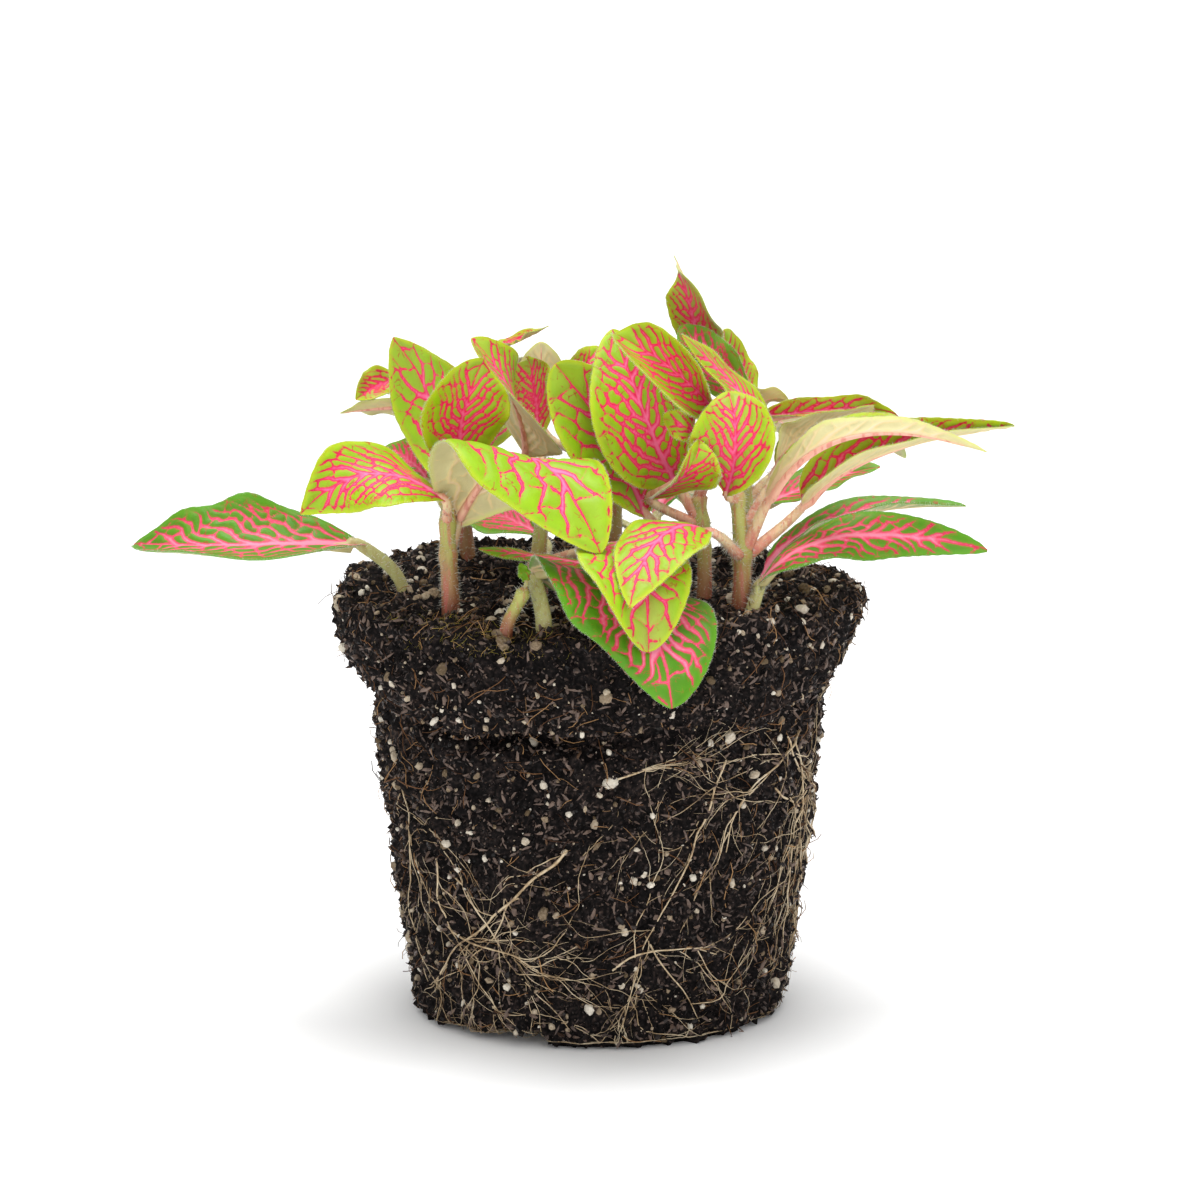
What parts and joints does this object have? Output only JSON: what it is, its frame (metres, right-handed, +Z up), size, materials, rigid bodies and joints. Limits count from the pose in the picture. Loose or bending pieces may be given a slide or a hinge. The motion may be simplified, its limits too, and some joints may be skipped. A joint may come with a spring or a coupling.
{
  "type": "nerve plant with bare root ball",
  "caption": "Small nerve plant with lime leaves and a pink vein net, standing without a pot on the dark root ball that keeps the shape of its nursery pot.",
  "frame": {"origin": "the middle of the root ball's foot, on the surface it stands on", "axes": "+Z up, -Y the front, which the leaves face, and +X to the plant's right as seen from the front"},
  "size_m": [0.1585, 0.1285, 0.1374],
  "materials": {
    "leaf_young": "satin",
    "leaf_old": "satin",
    "soil": "matte",
    "root": "matte"
  },
  "bodies": {
    "root": {"root_ball": "soil", "stem_front_left": "leaf_young", "stem_middle_left": "leaf_young", "stem_middle": "leaf_young", "stem_right": "leaf_young", "stem_front_low": "leaf_young", "stem_back_left": "leaf_young", "stem_back_middle": "leaf_young", "stem_back_right": "leaf_young", "leaf_over_rim": "leaf_old", "leaf_low_left": "leaf_old", "leaf_low_right": "leaf_old", "leaf_low_back": "leaf_old", "roots_front_left": "root", "roots_front_middle": "root", "roots_right": "root", "roots_back_left": "root", "roots_back_right": "root"}
  },
  "joints": []
}
